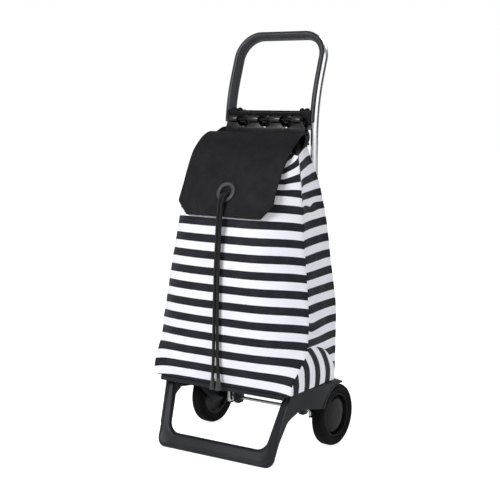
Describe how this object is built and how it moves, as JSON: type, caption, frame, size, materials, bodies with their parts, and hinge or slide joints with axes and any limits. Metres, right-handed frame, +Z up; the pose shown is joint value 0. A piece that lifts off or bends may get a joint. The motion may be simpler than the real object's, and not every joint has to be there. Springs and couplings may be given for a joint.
{
  "type": "shopping trolley",
  "caption": "Two-wheeled shopping trolley: bent oval tube handle, moulded foot, and a striped hook-on fabric bag with a lifting flap and drawcord.",
  "frame": {"origin": "on the floor, under the middle of the overall box (the cords left out)", "axes": "+Z up; -Y is the front, where the flap and the foot are; +X is to the right of a person facing the front. The axle lies along X, 83 mm behind the origin and 70 mm up."},
  "size_m": [0.3902, 0.313, 0.9289],
  "materials": {
    "aluminium_tube": "polished",
    "steel": "zinc plated",
    "black_plastic": "moulded, satin",
    "base_plastic": "moulded, fine grain",
    "gloss_plastic": "polished",
    "grey_plastic": "satin",
    "tyre": "smooth rubber",
    "nylon": "natural",
    "striped_fabric": "coated plain weave, printed black and white stripes",
    "black_fabric": "coated plain weave",
    "board": "matte",
    "cord": "braided"
  },
  "bodies": {
    "frame": {"handle_tube": "aluminium_tube", "handle_grip": "black_plastic", "left_tube_plug": "black_plastic", "right_tube_plug": "black_plastic", "crossbar": "black_plastic", "left_clamp_cap": "black_plastic", "left_clamp_screw": "steel", "right_clamp_cap": "black_plastic", "right_clamp_screw": "steel", "base_moulding": "base_plastic", "left_base_screw": "steel", "right_base_screw": "steel", "axle": "steel", "left_wheel_washer": "steel", "right_wheel_washer": "steel", "left_axle_sleeve": "black_plastic", "right_axle_sleeve": "black_plastic", "left_retaining_ring": "steel", "right_retaining_ring": "steel"},
    "left_wheel": {"left_tyre": "tyre", "left_rim": "black_plastic", "left_hub_cap": "gloss_plastic", "left_hub_bush": "nylon"},
    "right_wheel": {"right_tyre": "tyre", "right_rim": "black_plastic", "right_hub_cap": "gloss_plastic", "right_hub_bush": "nylon"},
    "bag": {"bag_front_panel": "striped_fabric", "bag_back_panel": "striped_fabric", "bag_left_side_panel": "striped_fabric", "bag_left_base_gusset": "striped_fabric", "bag_right_side_panel": "striped_fabric", "bag_right_base_gusset": "striped_fabric", "bag_bottom_panel": "black_fabric", "base_board": "board", "bag_collar": "black_fabric", "collar_hem": "black_fabric", "hanger_bar": "black_plastic", "hanger_rod": "steel", "hanger_band": "black_fabric"},
    "flap": {"flap": "black_fabric", "grommet_ring": "grey_plastic", "grommet_washer": "grey_plastic", "left_cord_on_flap": "cord", "right_cord_on_flap": "cord"},
    "drawcord": {"left_cord_hanging": "cord", "left_cord_end": "grey_plastic", "right_cord_hanging": "cord", "right_cord_end": "grey_plastic"}
  },
  "joints": [
    {"name": "left_wheel_spin", "type": "hinge", "parent": "frame", "child": "left_wheel", "pos_m": [-0.1665, 0.083, 0.07], "axis": [1, 0, 0], "continuous": true},
    {"name": "right_wheel_spin", "type": "hinge", "parent": "frame", "child": "right_wheel", "pos_m": [0.1665, 0.083, 0.07], "axis": [1, 0, 0], "continuous": true},
    {"name": "bag_lift_off", "type": "slide", "parent": "frame", "child": "bag", "axis": [0, -0.7071, 0.7071], "range_m": [0, 0.2]},
    {"name": "flap_lift", "type": "hinge", "parent": "bag", "child": "flap", "pos_m": [0, 0.043, 0.702], "axis": [-1, 0, 0], "range_deg": [0, 90]},
    {"name": "cord_hang", "type": "hinge", "parent": "flap", "child": "drawcord", "pos_m": [0, -0.1228, 0.5185], "axis": [-1, 0, 0], "range_deg": [-95, 0]}
  ],
  "couplings": [
    {"joint": "cord_hang", "follows": "flap_lift", "ratio": -1}
  ]
}
